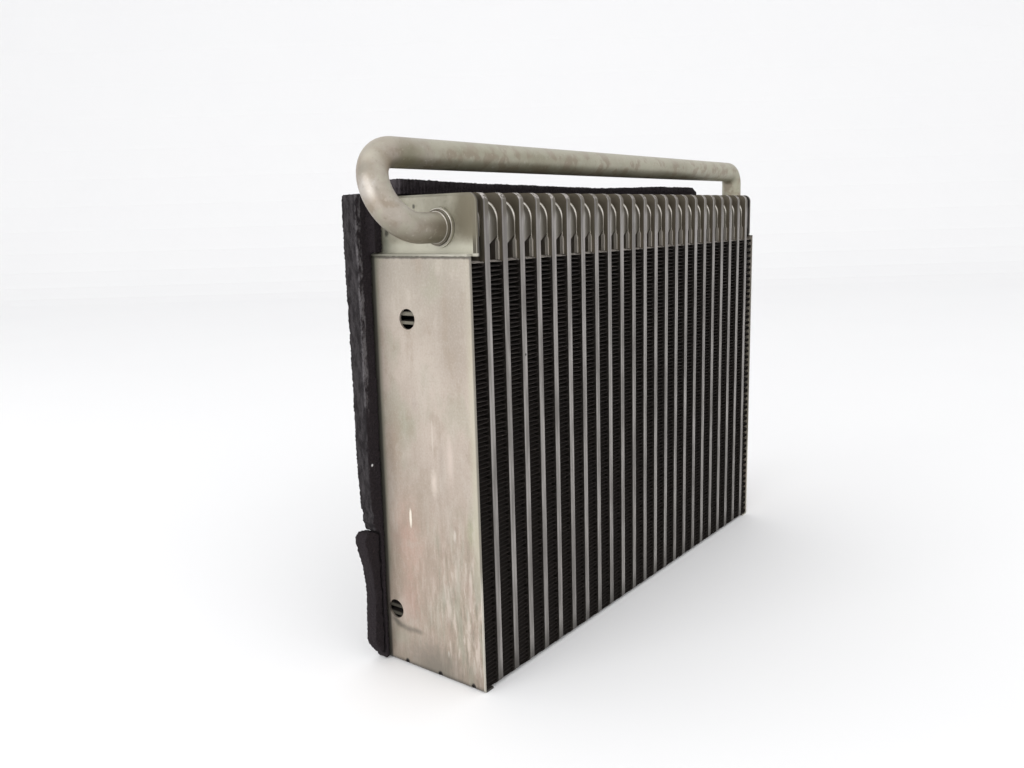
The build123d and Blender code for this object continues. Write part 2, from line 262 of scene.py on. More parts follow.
class Paint:
    """A material's node tree, with short calls for the nodes that the finishes use."""

    def __init__(self, name, roughness=0.5, metallic=0.0):
        self.material = bpy.data.materials.new(name)
        self.material.use_nodes = True
        self.tree = self.material.node_tree
        self.shader = self.tree.nodes["Principled BSDF"]
        self.shader.inputs["Roughness"].default_value = roughness
        self.shader.inputs["Metallic"].default_value = metallic
        self.place = self.add("ShaderNodeTexCoord").outputs["Object"]
        self.normal = self.add("ShaderNodeNewGeometry").outputs["Normal"]

    def add(self, kind):
        return self.tree.nodes.new(kind)

    def link(self, source, target):
        if isinstance(source, (int, float)):
            target.default_value = source
        elif isinstance(source, tuple):
            target.default_value = source if len(source) == 4 else (*source, 1.0)
        else:
            self.tree.links.new(source, target)

    def math(self, operation, first, second=0.0):
        node = self.add("ShaderNodeMath")
        node.operation = operation
        self.link(first, node.inputs[0])
        self.link(second, node.inputs[1])
        return node.outputs[0]

    def axis(self, vector, name):
        node = self.add("ShaderNodeSeparateXYZ")
        self.link(vector, node.inputs[0])
        return node.outputs[name]

    def ramp(self, value, low, high, start=0.0, end=1.0):
        """value mapped from low..high to start..end, smoothly and clamped."""
        node = self.add("ShaderNodeMapRange")
        node.interpolation_type = "SMOOTHSTEP"
        self.link(value, node.inputs["Value"])
        node.inputs["From Min"].default_value = low
        node.inputs["From Max"].default_value = high
        node.inputs["To Min"].default_value = start
        node.inputs["To Max"].default_value = end
        return node.outputs[0]

    def fade(self, value, low, high, start=1.0):
        """start below low, falling to 0 at high."""
        return self.ramp(value, low, high, start, 0.0)

    def facing(self, name):
        """How squarely the surface faces either way along an axis, 0 to 1."""
        return self.math("ABSOLUTE", self.axis(self.normal, name))

    def noise(self, scale, detail=4.0, stretch=(1, 1, 1), shift=(0, 0, 0), roughness=0.55, lean=0.0):
        """Noise with scale cells to the metre, drawn out along an axis where stretch is small."""
        mapping = self.add("ShaderNodeMapping")
        self.link(self.place, mapping.inputs["Vector"])
        mapping.inputs["Rotation"].default_value = (lean, 0.0, 0.0)
        mapping.inputs["Scale"].default_value = stretch
        mapping.inputs["Location"].default_value = shift
        node = self.add("ShaderNodeTexNoise")
        self.link(mapping.outputs[0], node.inputs["Vector"])
        node.inputs["Scale"].default_value = scale
        node.inputs["Detail"].default_value = detail
        node.inputs["Roughness"].default_value = roughness
        return node.outputs[0]

    def mix(self, factor, first, second, blend="MIX"):
        node = self.add("ShaderNodeMix")
        node.data_type = "RGBA"
        node.blend_type = blend
        self.link(factor, node.inputs["Factor"])
        self.link(first, node.inputs[6])
        self.link(second, node.inputs[7])
        return node.outputs[2]

    def mark(self, place, soft=0.3, ragged=0.0):
        """1 inside an oval on the depth and height plane, fading to 0 at its edge."""
        depth, height, half_depth, half_height = place
        across = self.math("SUBTRACT", self.axis(self.place, "Y"), FRONT + depth)
        along = self.math("SUBTRACT", self.axis(self.place, "Z"), height)
        across = self.math("POWER", self.math("ABSOLUTE", self.math("DIVIDE", across, half_depth)), 2.0)
        along = self.math("POWER", self.math("ABSOLUTE", self.math("DIVIDE", along, half_height)), 2.0)
        far = self.math("SQRT", self.math("ADD", across, along))
        if ragged:
            wave = self.math("SUBTRACT", self.noise(450, 3.0), 0.5)
            far = self.math("ADD", far, self.math("MULTIPLY", wave, ragged))
        return self.fade(far, soft, 1.0)

    def blot(self, centre, reach, soft=0.2, ragged=0.0, scale=450):
        """1 inside a ball round a place, fading to 0 at its edge."""
        node = self.add("ShaderNodeVectorMath")
        node.operation = "DISTANCE"
        self.link(self.place, node.inputs[0])
        node.inputs[1].default_value = centre
        far = self.math("DIVIDE", node.outputs["Value"], reach)
        if ragged:
            wave = self.math("SUBTRACT", self.noise(scale, 3.0), 0.5)
            far = self.math("ADD", far, self.math("MULTIPLY", wave, ragged))
        return self.fade(far, soft, 1.0)

    def tint(self, colour, factor, strength, towards):
        """colour drawn towards another by a factor and a strength."""
        return self.mix(self.both(factor, strength), colour, towards)

    def stains(self, colour, marks):
        """colour with marks on it: each has a place, how soft and ragged it is, a strength and a shade."""
        for place, soft, ragged, strength, shade in marks:
            colour = self.tint(colour, self.mark(place, soft, ragged), strength, shade)
        return colour

    def band(self, value, low, high, soft):
        """1 while value lies between low and high, fading to 0 over soft on both sides."""
        rise = self.ramp(value, low - soft, low)
        fall = self.fade(value, high, high + soft)
        return self.math("MULTIPLY", rise, fall)

    def both(self, *factors):
        """The product of two or more factors."""
        product = factors[0]
        for factor in factors[1:]:
            product = self.math("MULTIPLY", product, factor)
        return product

    def matt(self, level):
        self.shader.inputs["Specular IOR Level"].default_value = level

    def colour(self, source):
        self.link(source, self.shader.inputs["Base Color"])

    def rough(self, source):
        self.link(source, self.shader.inputs["Roughness"])

    def bump(self, height, strength, distance):
        node = self.add("ShaderNodeBump")
        node.inputs["Strength"].default_value = strength
        node.inputs["Distance"].default_value = distance
        self.link(height, node.inputs["Height"])
        self.link(node.outputs[0], self.shader.inputs["Normal"])


def dress(name, paint):
    """Gives a CAD node or a piece its material."""
    mesh = (nodes.get(name) or bpy.data.objects[name]).data
    mesh.materials.clear()
    mesh.materials.append(paint.material)


def make_camera():
    yaw, pitch, roll = CAMERA_YAW, CAMERA_PITCH, CAMERA_ROLL
    forward = Vector((math.sin(yaw) * math.cos(pitch), math.cos(yaw) * math.cos(pitch), -math.sin(pitch)))
    level = Vector((math.cos(yaw), -math.sin(yaw), 0.0))
    drop = forward.cross(level)
    right = level * math.cos(roll) + drop * math.sin(roll)
    down = drop * math.cos(roll) - level * math.sin(roll)
    data = bpy.data.cameras.new("camera")
    data.sensor_width = SENSOR_WIDTH
    data.lens = FOCAL_PIXELS * SENSOR_WIDTH / IMAGE_WIDTH
    camera = bpy.data.objects.new("camera", data)
    turn = Matrix((right, -down, -forward)).transposed().to_4x4()
    camera.matrix_world = Matrix.Translation(CAMERA_PLACE) @ turn
    bpy.context.collection.objects.link(camera)
    bpy.context.scene.camera = camera


def area_light(name, place, aim, size, power):
    data = bpy.data.lights.new(name, "AREA")
    data.shape = "RECTANGLE"
    data.size, data.size_y = size
    data.energy = power
    light = bpy.data.objects.new(name, data)
    light.location = place
    light.rotation_euler = (Vector(aim) - Vector(place)).to_track_quat("-Z", "Y").to_euler()
    bpy.context.collection.objects.link(light)


def make_stage():
    """A pale floor that curves up into a wall well behind the part."""
    half, near, reach, bend, height, steps = 6.0, -4.0, 3.0, 1.0, 4.0, 12
    profile = [(near, 0.0), (reach - bend, 0.0)]
    for step in range(1, steps + 1):
        turn = math.pi / 2 * step / steps
        profile.append((reach - bend + bend * math.sin(turn), bend - bend * math.cos(turn)))
    profile.append((reach, height))
    away = Vector((math.sin(CAMERA_YAW), math.cos(CAMERA_YAW), 0.0))
    across = Vector((math.cos(CAMERA_YAW), -math.sin(CAMERA_YAW), 0.0))
    points = []
    for out, up in profile:
        points.append(away * out - across * half + Vector((0, 0, up)))
        points.append(away * out + across * half + Vector((0, 0, up)))
    faces = [(2 * i, 2 * i + 1, 2 * i + 3, 2 * i + 2) for i in range(len(profile) - 1)]
    stage = add_mesh("stage_floor", points, faces)
    paint = Paint("stage_paint", roughness=0.75)
    paint.colour(paint.mix(paint.noise(3.0, 2.0), (0.88, 0.88, 0.89), (0.90, 0.90, 0.905)))
    stage.data.materials.append(paint.material)


def make_light():
    world = bpy.data.worlds.new("studio")
    bpy.context.scene.world = world
    world.use_nodes = True
    world.node_tree.nodes["Background"].inputs["Color"].default_value = (1.0, 1.0, 1.0, 1.0)
    world.node_tree.nodes["Background"].inputs["Strength"].default_value = 1.0
    area_light("window", place=(-1.5, 0.1, 0.55), aim=(-0.1, 0.0, 0.15), size=(1.3, 1.0), power=13.5)
    area_light("front", place=(-0.3, -2.0, 1.2), aim=(0.0, 0.0, 0.1), size=(2.4, 1.6), power=9.0)
    bpy.context.scene.view_settings.view_transform = "Standard"


def add_mesh(name, points, faces):
    """A new mesh object in the row's frame, with its origin at the row's origin."""
    mesh = bpy.data.meshes.new(name)
    mesh.from_pydata([tuple(point) for point in points], [], faces)
    mesh.update()
    piece = bpy.data.objects.new(name, mesh)
    bpy.context.collection.objects.link(piece)
    return piece


def apply_modifiers(piece):
    """Replaces a piece's mesh with what its modifiers make of it."""
    bpy.context.view_layer.update()
    seen = piece.evaluated_get(bpy.context.evaluated_depsgraph_get())
    mesh = bpy.data.meshes.new_from_object(seen)
    piece.modifiers.clear()
    piece.data = mesh


def own(piece, slot, paint, *replaced):
    """Puts a piece on the body, with its material, and hides the nodes that it stands for; its slot is not
    used.
    """
    dress(piece.name, paint)
    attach(piece, "root")
    if replaced:
        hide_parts(*replaced)


def fin_rows(front, rear):
    """The places along the depth where a fin's louvres turn, with the lift of each: +1, -1 or 0."""
    rows = [(front, 0.0), (front + FIN_MARGIN, 0.0)]
    for louvre in range(FIN_LOUVRES):
        start = front + FIN_MARGIN + louvre * FIN_LOUVRE_PITCH
        rows.append((start + FIN_SLIT, -1.0))
        rows.append((start + FIN_LOUVRE_PITCH, 1.0))
    rows.append((rows[-1][0] + FIN_REST, 0.0))
    back = [(front + rear - y, -lift) for y, lift in reversed(rows)]
    return rows + back


def fold_line(left, right, foot, head, chance):
    """A fin's folded line: each leg's two ends, and the crest up to the next leg; 1 marks a leg's point."""
    step = (head - foot - 2 * FIN_WANDER) / (FIN_LEGS - 1)
    path = []
    for leg in range(FIN_LEGS):
        low = foot + FIN_WANDER + leg * step + FIN_BEND
        high = low + step - 2 * FIN_BEND
        ends = (left, right) if leg % 2 == 0 else (right, left)
        inward = FIN_BEND if leg % 2 == 0 else -FIN_BEND
        drift = chance.uniform(-1, 1) * FIN_WANDER
        path.append((ends[0] + inward, low - FIN_BEND + drift, 1.0))
        path.append((ends[1] - inward, low - FIN_BEND - drift, 1.0))
        if leg < FIN_LEGS - 1:
            path.append((ends[1], low, 0.0))
            path.append((ends[1], high, 0.0))
    return path


def make_fin(name, paint):
    """One fin column: a folded, louvred strip of thin sheet between two tubes."""
    (left, front, foot), (right, rear, head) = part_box(name)
    half = FIN_SHEET / 2
    path = fold_line(left + half, right - half, foot + 2 * half, head - 2 * half, random.Random(name))
    rows = fin_rows(front, rear)
    points = []
    for y, tilt in rows:
        for x, z, leg in path:
            points.append((x, y, max(z + leg * tilt * FIN_LOUVRE_LIFT, foot + half)))
    count = len(path)
    faces = []
    for row in range(len(rows) - 1):
        for k in range(count - 1):
            base = row * count + k
            faces.append((base, base + 1, base + count + 1, base + count))
    fin = add_mesh(name + "_louvred", points, faces)
    sheet = fin.modifiers.new("sheet", "SOLIDIFY")
    sheet.thickness = FIN_SHEET
    sheet.offset = 0.0
    apply_modifiers(fin)
    own(fin, "fin", paint, name)


def seam_path():
    """A cup rim's line: depth from its face, height and swell, along its top, round, down and under."""
    top = TOP - SEAM_TOP
    places = [(SEAM_BACK, top, 1.0)]
    for step in range(SEAM_ARC_STEPS + 1):
        turn = math.pi / 2 * step / SEAM_ARC_STEPS
        y = SEAM_INSET + SEAM_CORNER * (1 - math.sin(turn))
        z = top - SEAM_CORNER * (1 - math.cos(turn))
        places.append((y, z, 1.0 + (SEAM_ARC_SWELL - 1.0) * math.sin(2 * turn)))
    places.append((SEAM_INSET, SEAM_FLOOR, 1.0))
    places.append((SEAM_BACK, SEAM_FLOOR, 1.0))
    return places


def post_outline():
    """A neck post's outline: depth from its face and height."""
    right = POST_FRONT + POST_WIDE
    middle = POST_FRONT + POST_WIDE / 2
    return [
        (POST_FRONT, FIN_TOP),
        (POST_FRONT, POST_SHOULDER),
        (middle, POST_TIP),
        (right, POST_SHOULDER),
        (right, FIN_TOP),
    ]


def make_tube(index, paint):
    """One tube with neck posts as narrow as the photograph's, on the face that its solid's beads are on."""
    name = TUBES[index]
    face = FIRST_TUBE_X + index * PITCH - TUBE_HALF
    mesh = bmesh.new()
    mesh.from_mesh(nodes[name].data)
    bmesh.ops.remove_doubles(mesh, verts=mesh.verts, dist=1e-6)
    flat = [part for part in mesh.faces if all(corner.co.x < face + 1e-5 for corner in part.verts)]
    bmesh.ops.delete(mesh, geom=flat, context="FACES")
    rim = [edge for edge in mesh.edges if edge.is_boundary]
    for mirrored in (False, True):
        outline = [(REAR - y if mirrored else FRONT + y, z) for y, z in post_outline()]
        root = [mesh.verts.new((face, y, z)) for y, z in outline]
        crown = [mesh.verts.new((face - POST_PROUD, y, z)) for y, z in outline]
        mesh.faces.new(crown)
        for k in range(len(outline)):
            following = (k + 1) % len(outline)
            wall = mesh.faces.new((root[k], root[following], crown[following], crown[k]))
            rim.append(next(edge for edge in wall.edges if set(edge.verts) == {root[k], root[following]}))
    bmesh.ops.triangle_fill(mesh, edges=rim, use_beauty=True)
    bmesh.ops.recalc_face_normals(mesh, faces=mesh.faces)
    piece = add_mesh(name + "_plates", [], [])
    mesh.to_mesh(piece.data)
    mesh.free()
    soften(piece.data)
    own(piece, "tube_plate", paint, name)


def soften(data):
    """Smooth shading, except over sharp edges."""
    if "custom_normal" in data.attributes:
        data.attributes.remove(data.attributes["custom_normal"])
    data.shade_smooth()
    data.set_sharp_from_angle(angle=SHARP_FROM)


def add_line(curve, x, places, mirrored):
    """One line of braze on a plane across the stack, on the front half or turned over to the rear."""
    line = curve.splines.new("POLY")
    line.points.add(len(places) - 1)
    for point, (y, z, swell) in zip(line.points, places):
        point.co = (x, REAR - y if mirrored else FRONT + y, z, 1.0)
        point.radius = swell


def new_curve(name, radius):
    curve = bpy.data.curves.new(name, "CURVE")
    curve.dimensions = "3D"
    curve.bevel_depth = radius
    curve.bevel_resolution = 2
    piece = bpy.data.objects.new(name, curve)
    bpy.context.collection.objects.link(piece)
    return piece


def make_seam(index, paint):
    """The braze round the two cups that meet the left face of one tube, and along its posts."""
    face = FIRST_TUBE_X + index * PITCH - TUBE_HALF
    piece = new_curve(f"cup_seam_{index + 1:02d}", SEAM_RADIUS)
    for mirrored in (False, True):
        add_line(piece.data, face - SEAM_SUNK, seam_path(), mirrored)
        if index > 0:
            swell = POST_LINE / SEAM_RADIUS
            places = [(y, z, swell) for y, z in post_outline()]
            add_line(piece.data, face - POST_PROUD, places, mirrored)
            stem = [(POST_FRONT + POST_WIDE / 2, POST_TIP - 0.0002, 0.8), (SEAM_INSET, SEAM_FLOOR, 0.8)]
            add_line(piece.data, face - SEAM_SUNK, stem, mirrored)
    own(piece, "tube_plate", paint)


def make_port_ring(name, depth, side, paint):
    """Bright lines of braze round a port boss: near the boss's edge and on the pipe beyond its ring."""
    piece = new_curve(name, RING_LINE)
    face = TANK_FACE_LEFT if side < 0 else TANK_FACE_RIGHT
    for radius, out in ((BOSS_LINE_RADIUS, BOSS_OUT), (PIPE_LINE_RADIUS, PIPE_LINE_OUT)):
        line = piece.data.splines.new("POLY")
        line.points.add(RING_STEPS - 1)
        line.use_cyclic_u = True
        for k, point in enumerate(line.points):
            turn = math.tau * k / RING_STEPS
            reach = radius - RING_LINE
            y = FRONT + depth + reach * math.cos(turn)
            point.co = (face + side * out, y, PORT_HEIGHT + reach * math.sin(turn), 1.0)
    own(piece, "tank_plate", paint)


def foam_front(height):
    """How deep the tape's front face lies at a height: it slants."""
    return FRONT + FOAM_FRONT_AT_FOOT + FOAM_FRONT_SLANT * height


def tape_prism(name, outline, set_back=0.0):
    """A closed prism on the left side plate, from the tape's slanted front face to the rear."""
    places = [(FOAM_SEAT - out, z) for out, z in outline]
    count = len(places)
    points = [(x, foam_front(z) + set_back, z) for x, z in places]
    points += [(x, REAR, z) for x, z in places]
    faces = [tuple(range(count)), tuple(reversed(range(count, 2 * count)))]
    for k in range(count):
        following = (k + 1) % count
        faces.append((following, k, k + count, following + count))
    return add_mesh(name, points, faces)


def add_press_block(piece):
    """The part of the left tape that is pressed in beside the tank plate."""
    top = max(z for out, z in TAPE_OUTLINE)
    low = (FOAM_SEAT - 0.001, FRONT + TAPE_PRESS_DEPTH, TAPE_PRESS_FOOT)
    high = (FOAM_SEAT + TAPE_PRESS_IN, REAR, top)
    mesh = bmesh.new()
    mesh.from_mesh(piece.data)
    block = bmesh.ops.create_cube(mesh, size=1.0)["verts"]
    for corner in block:
        corner.co = [low[k] if corner.co[k] < 0 else high[k] for k in range(3)]
    mesh.to_mesh(piece.data)
    mesh.free()


def to_cells(piece, smoothing):
    """Remeshes a foam piece finely, rounds its edges and takes it in a little."""
    mesh = bmesh.new()
    mesh.from_mesh(piece.data)
    bmesh.ops.recalc_face_normals(mesh, faces=mesh.faces)
    mesh.to_mesh(piece.data)
    mesh.free()
    remesh = piece.modifiers.new("cells", "REMESH")
    remesh.mode = "VOXEL"
    remesh.voxel_size = FOAM_VOXEL
    if smoothing:
        rounding = piece.modifiers.new("rounding", "SMOOTH")
        rounding.factor = 0.5
        rounding.iterations = smoothing
    apply_modifiers(piece)
    normals = [vertex.normal.copy() for vertex in piece.data.vertices]
    for vertex, normal in zip(piece.data.vertices, normals):
        vertex.co -= normal * FOAM_INSET


def roughen(piece, seed, broad_share):
    """Open-cell surface: each point moves in or out by layered noise."""
    shift = Vector((seed * 7.3, seed * 3.1, seed * 5.7))
    normals = [vertex.normal.copy() for vertex in piece.data.vertices]
    for vertex, normal in zip(piece.data.vertices, normals):
        place = vertex.co.copy()
        fine = noise.noise(place * FOAM_CELLS_PER_METRE + shift)
        broad = noise.noise(place * FOAM_LUMPS_PER_METRE + shift)
        vertex.co += normal * FOAM_ROUGHNESS * (fine + broad_share * broad)
        vertex.co.y = min(vertex.co.y, REAR)
    piece.data.update()


def make_foam(name, paint, seed, piece=None, smoothing=0, broad_share=0.35):
    """A foam piece from its own outline, or from its solid where none is given."""
    if piece is None:
        piece = bpy.data.objects.new(name + "_foam", nodes[name].data.copy())
        bpy.context.collection.objects.link(piece)
    to_cells(piece, smoothing)
    roughen(piece, seed, broad_share)
    own(piece, "foam", paint, name)


def tube_front(paint, across, off, height, grain):
    """A tube from the front or rear: a grooved strip with a painted shadow line along its left edge and
    painted shade under the cups, then a cup wall with painted shading, light by the strip and darker away
    from it, and a painted highlight where the plate curves out into the cup.
    """
    strip = paint.mix(paint.ramp(grain, 0.32, 0.68), (0.155, 0.143, 0.134), (0.315, 0.296, 0.282))
    strip = paint.mix(paint.fade(off, *STRIP_GROOVE, 0.4), strip, (0.14, 0.13, 0.12))
    # Painted shadow: a thin dark line along each strip's left edge.
    lip = paint.band(across, PITCH - TUBE_HALF, PITCH - TUBE_HALF + STRIP_SHADOW_LINE, 0.0001)
    strip = paint.mix(lip, strip, (0.05, 0.042, 0.036))
    # Painted shade on the strip where the cups above shade it.
    inward = paint.math("MODULO", paint.math("ADD", across, TUBE_HALF), PITCH)
    shaded = paint.both(paint.ramp(height, *CUP_SHADE_HEIGHTS), paint.ramp(inward, *CUP_SHADE_IN), 0.85)
    strip = paint.mix(shaded, strip, (0.105, 0.092, 0.070))

    # Painted shading on the cup wall: light next to the strip, darker towards the next plate.
    cup = paint.mix(paint.ramp(across, TUBE_HALF, CUP_REACH), (0.23, 0.215, 0.19), (0.085, 0.075, 0.058))
    # Painted highlight: a light line where the plate curves out into the cup.
    middle = paint.ramp(height, *FLARE_HEIGHTS, *FLARE_ACROSS)
    flare_highlight = paint.fade(paint.math("ABSOLUTE", paint.math("SUBTRACT", across, middle)), 0.0002, 0.0006, 0.6)
    cup = paint.mix(paint.both(flare_highlight, paint.fade(height, *FLARE_END)), cup, (0.40, 0.38, 0.35))
    return paint.mix(paint.ramp(off, TUBE_HALF, TUBE_HALF + 0.0001), strip, cup)


def tube_wall(paint, colour, height, blotch, leftward):
    """The walls between the tubes, painted dark as shade: near-black as painted shade where the fins hide
    them, and painted light in the recess by the posts.
    """
    # Painted shade: the walls are painted darker than the strips for the shade between the tubes.
    wall = paint.mix(blotch, (0.075, 0.063, 0.044), (0.140, 0.120, 0.090))
    # Painted shade, near-black, on the walls behind the fins.
    hidden = paint.both(leftward, paint.fade(height, FIN_TOP - 0.0010, FIN_TOP - 0.0002))
    wall = paint.mix(paint.both(hidden, 0.92), wall, (0.012, 0.010, 0.009))
    colour = paint.mix(paint.ramp(paint.facing("Y"), 0.7, 0.92), wall, colour)
    deep = paint.math("ABSOLUTE", paint.axis(paint.place, "Y"))
    # Painted light on the walls between the fins' top and the cups, by the posts.
    recess = paint.both(
        leftward,
        paint.band(height, FIN_TOP, RECESS_FLOOR, 0.0004),
        paint.fade(deep, *RECESS_EDGE),
        paint.ramp(deep, 0.010, 0.020),
    )
    return paint.mix(recess, colour, (0.270, 0.235, 0.190))


def tube_paint():
    """Light plate edges with a groove, walls painted with shade that darkens towards the next plate,
    painted highlights on the plates' top corners, painted shade deep inside the cups, and dark feet.
    """
    paint = Paint("tube_plate_finish", roughness=0.42, metallic=0.5)
    start = FIRST_TUBE_X - 2 * len(TUBES) * PITCH
    across = paint.math("MODULO", paint.math("SUBTRACT", paint.axis(paint.place, "X"), start), PITCH)
    off = paint.math("PINGPONG", across, PITCH / 2)
    height = paint.axis(paint.place, "Z")
    deep = paint.math("ABSOLUTE", paint.axis(paint.place, "Y"))
    grain = paint.noise(420, 3.0, stretch=(1, 1, 0.08))
    blotch = paint.noise(60, 4.0)
    leftward = paint.fade(paint.axis(paint.normal, "X"), -0.8, -0.6)

    colour = tube_front(paint, across, off, height, grain)
    colour = tube_wall(paint, colour, height, blotch, leftward)
    # Painted highlight on the plates' rounded top corners, strongest at the left end.
    tip_highlight = paint.both(
        paint.ramp(height, *TIP_HEIGHTS),
        paint.ramp(deep, *TIP_EDGE),
        paint.fade(off, TUBE_HALF - 0.0001, TUBE_HALF),
        paint.ramp(paint.noise(900), 0.42, 0.56),
        paint.ramp(paint.axis(paint.place, "X"), TIP_BRIGHT_TO, TIP_DULL_FROM, 1.0, 0.35),
    )
    colour = paint.mix(tip_highlight, colour, (0.50, 0.465, 0.44))
    post_low = PITCH - TUBE_HALF - POST_PROUD
    post = paint.both(
        paint.band(across, post_low - 0.00005, post_low + POST_PROUD - 0.0002, 0.0001),
        paint.band(height, FIN_TOP - 0.0002, POST_TIP, 0.0002),
    )
    post_colour = paint.mix(paint.noise(500), (0.36, 0.325, 0.280), (0.50, 0.460, 0.410))
    colour = paint.mix(post, colour, post_colour)

    colour = paint.mix(paint.fade(height, *DARK_FOOT_HEIGHTS, 0.8), colour, (0.045, 0.040, 0.034))
    for x, z, reach in STRIP_NICKS:
        nick = paint.blot((FIRST_TUBE_X + x, FRONT, z), reach, 0.4)
        colour = paint.mix(nick, colour, (0.030, 0.026, 0.024))
    # Painted shade deep inside, between the cups.
    inner_shade = paint.both(paint.fade(deep, *CUP_DARK_DEPTHS, 0.8), paint.fade(height, *CUP_HEIGHTS))
    paint.colour(paint.mix(inner_shade, colour, (0.03, 0.026, 0.022)))
    paint.rough(paint.ramp(blotch, 0.3, 0.7, 0.36, 0.55))
    paint.bump(grain, 0.25, 0.0001)
    return paint


def seam_paint():
    """Braze, mottled in patches: painted bright high up as a highlight where the light catches it, and
    darker lower down as painted shade between the cups.
    """
    paint = Paint("seam_finish", roughness=0.34, metallic=0.6)
    blotch = paint.noise(300, 3.0)
    # Painted highlight on the braze above this height, painted shade below it.
    high = paint.ramp(paint.axis(paint.place, "Z"), 0.203, 0.208)
    shaded_braze = paint.mix(blotch, (0.26, 0.24, 0.20), (0.42, 0.39, 0.34))
    bright = paint.mix(blotch, (0.55, 0.52, 0.46), (0.82, 0.79, 0.73))
    paint.colour(paint.mix(high, shaded_braze, bright))
    paint.bump(paint.noise(900, 2.0), 0.3, 0.0001)
    return paint


def fin_paint():
    """Near-black sheet, dark with dirt and with painted shade between its folds, with paler front edges, a
    top leg painted light where light falls on it, and bare crests by the side plate.
    """
    paint = Paint("fin_finish", roughness=0.7)
    paint.matt(0.2)
    dirt_and_shade = paint.noise(500, 4.0)
    patch = paint.noise(70, 3.0)
    height = paint.axis(paint.place, "Z")
    # Painted shade and dirt: the sheet's body is near-black.
    body = paint.mix(dirt_and_shade, (0.010, 0.0078, 0.0068), (0.026, 0.021, 0.018))
    warm = paint.mix(patch, (0.046, 0.037, 0.032), (0.038, 0.036, 0.033))
    edge = paint.mix(paint.ramp(dirt_and_shade, 0.35, 0.7), (0.018, 0.015, 0.014), warm)
    edge = paint.tint(edge, paint.ramp(paint.noise(340, 3.0), 0.58, 0.70), 0.6, (0.120, 0.100, 0.085))
    front = paint.ramp(paint.facing("Y"), 0.5, 0.9)
    colour = paint.mix(front, body, edge)
    # Painted light on the top leg.
    crown = paint.ramp(height, FIN_TOP - 0.0010, FIN_TOP - 0.0007)
    lit_top_leg = paint.mix(paint.ramp(dirt_and_shade, 0.3, 0.6), (0.07, 0.060, 0.052), (0.27, 0.245, 0.22))
    colour = paint.mix(crown, colour, lit_top_leg)
    outer = paint.fade(paint.axis(paint.place, "X"), FIN_LEFT + 0.00015, FIN_LEFT + 0.0003)
    bare = paint.mix(paint.ramp(patch, 0.45, 0.55), (0.045, 0.041, 0.032), (0.130, 0.120, 0.096))
    paint.colour(paint.mix(outer, colour, bare))
    return paint


def side_ground(paint, height, drift):
    """The side plate's large stains, from dull and speckled at the top to pink and mossy below."""
    cloud = paint.noise(26, 4.0, stretch=(1, 1, 0.7))
    speck = paint.noise(1100, 3.0)
    stain = paint.noise(95, 5.0, stretch=(1, 1, 0.55), shift=(9, 4, 1), roughness=0.6)
    high = paint.mix(paint.ramp(cloud, 0.35, 0.65), (0.305, 0.280, 0.238), (0.352, 0.326, 0.280))
    middle = paint.mix(paint.ramp(cloud, 0.35, 0.65), (0.352, 0.308, 0.262), (0.410, 0.360, 0.312))
    low = paint.mix(paint.ramp(drift, 0.35, 0.65), (0.325, 0.280, 0.225), (0.372, 0.302, 0.252))
    colour = paint.mix(paint.ramp(height, *SIDE_HIGH), middle, high)
    colour = paint.mix(paint.fade(height, *SIDE_LOW), colour, low)
    colour = paint.stains(colour, (
        (BROWN_UPPER, 0.1, 0.5, 0.4, (0.255, 0.225, 0.188)),
        (PALE_UPPER, 0.0, 0.5, 0.45, (0.425, 0.392, 0.345)),
        (PINK_MIDDLE, 0.0, 0.5, 0.85, (0.405, 0.285, 0.232)),
        (PINK_LOW, 0.0, 0.5, 0.8, (0.385, 0.272, 0.225)),
        (MOSS_MIDDLE, 0.0, 0.8, 0.7, (0.285, 0.288, 0.220)),
        (MOSS_LOW, 0.0, 0.7, 0.35, (0.285, 0.285, 0.218)),
        (GREEN_EDGE, 0.1, 0.6, 0.6, (0.300, 0.330, 0.215)),
        (SMUDGE, 0.0, 0.5, 0.25, (0.240, 0.215, 0.200)),
    ))
    colour = paint.tint(colour, paint.ramp(drift, 0.52, 0.64), 0.50, (0.300, 0.298, 0.235))
    colour = paint.stains(colour, (
        (BROWN_MIDDLE, 0.0, 0.8, 0.7, (0.300, 0.245, 0.188)),
        (DULL_BETWEEN, 0.0, 0.6, 0.4, (0.270, 0.235, 0.200)),
    ))
    colour = paint.tint(colour, paint.ramp(stain, 0.52, 0.64), 0.45, (0.280, 0.236, 0.186))
    colour = paint.tint(colour, paint.fade(stain, 0.36, 0.48), 0.38, (0.440, 0.402, 0.355))
    colour = paint.tint(colour, paint.ramp(speck, 0.50, 0.70), 0.22, (0.47, 0.44, 0.39))
    return paint.tint(colour, paint.fade(speck, 0.30, 0.48), 0.20, (0.22, 0.20, 0.165))


